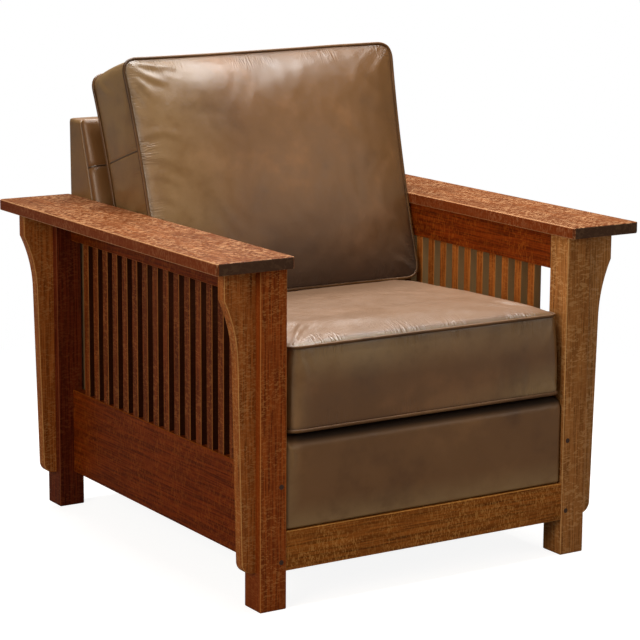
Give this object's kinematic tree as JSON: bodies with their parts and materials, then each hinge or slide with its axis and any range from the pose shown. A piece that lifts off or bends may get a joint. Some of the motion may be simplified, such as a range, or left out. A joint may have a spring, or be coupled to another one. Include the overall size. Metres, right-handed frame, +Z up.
{
  "type": "club chair",
  "caption": "Mission club chair: slatted oak sides under wide flat arms on long corbels, a sprung leather seat, a raked leather back and loose cushions.",
  "frame": {"origin": "on the floor, midway between the arms' outer edges and midway between the front and rear ends of the arms", "axes": "+Z up, the front faces -Y, +X is the viewer's right when looking at the front"},
  "size_m": [0.932, 0.886, 0.938],
  "materials": {
    "oak_show": "stained quartersawn oak, satin lacquer",
    "oak_plug": "stained end grain",
    "beech_dowel": "turned, unfinished",
    "hidden_hardwood": "planed, unfinished",
    "plywood": "sawn, unfinished",
    "leather": "brown pull-up leather, soft sheen",
    "deck_cloth": "woven cotton, dyed brown",
    "foam": "cut polyether foam wrapped in wadding",
    "felt": "needled grey felt",
    "webbing": "woven elastic webbing",
    "dust_cloth": "black non-woven cloth",
    "spring_steel": "tempered wire, oiled",
    "zinc_steel": "zinc plated"
  },
  "bodies": {
    "frame": {"front_left_leg": "oak_show", "front_right_leg": "oak_show", "rear_left_leg": "oak_show", "rear_right_leg": "oak_show", "front_left_corbel": "oak_show", "front_right_corbel": "oak_show", "rear_left_corbel": "oak_show", "rear_right_corbel": "oak_show", "left_arm": "oak_show", "right_arm": "oak_show", "left_top_rail": "oak_show", "right_top_rail": "oak_show", "left_bottom_rail": "oak_show", "right_bottom_rail": "oak_show", "left_slats": "oak_show", "right_slats": "oak_show", "front_rail": "oak_show", "rear_rail": "oak_show", "leg_plugs": "oak_plug", "arm_dowels": "beech_dowel", "corbel_dowels": "beech_dowel", "seat_front_rail": "hidden_hardwood", "seat_rear_rail": "hidden_hardwood", "seat_left_rail": "hidden_hardwood", "seat_right_rail": "hidden_hardwood", "seat_corner_blocks": "hidden_hardwood", "front_border_board": "hidden_hardwood", "back_top_rail": "hidden_hardwood", "back_bottom_rail": "hidden_hardwood", "back_left_panel": "plywood", "back_right_panel": "plywood", "front_border_cover": "leather", "inside_back_cover": "leather", "back_left_cover": "leather", "back_right_cover": "leather", "back_top_cover": "leather", "outside_back_cover": "leather", "seat_deck_cover": "deck_cloth", "seat_deck_pad": "foam", "inside_back_padding": "foam", "seat_spring_felt": "felt", "back_straps": "webbing", "seat_dust_cover": "dust_cloth", "back_dust_cover": "dust_cloth", "seat_springs": "spring_steel", "seat_spring_clips": "zinc_steel", "leg_screws": "zinc_steel", "seat_box_screws": "zinc_steel"},
    "seat_cushion": {"seat_cushion_casing": "leather", "seat_cushion_core": "foam"},
    "back_cushion": {"back_cushion_casing": "leather", "back_cushion_core": "foam"}
  },
  "joints": [
    {"name": "seat_cushion_slide", "type": "slide", "parent": "frame", "child": "seat_cushion", "axis": [0, -0.9986, 0.0523], "range_m": [0, 0.66]},
    {"name": "back_cushion_lift", "type": "slide", "parent": "frame", "child": "back_cushion", "axis": [0, 0.3007, 0.9537], "range_m": [0, 0.45]}
  ]
}
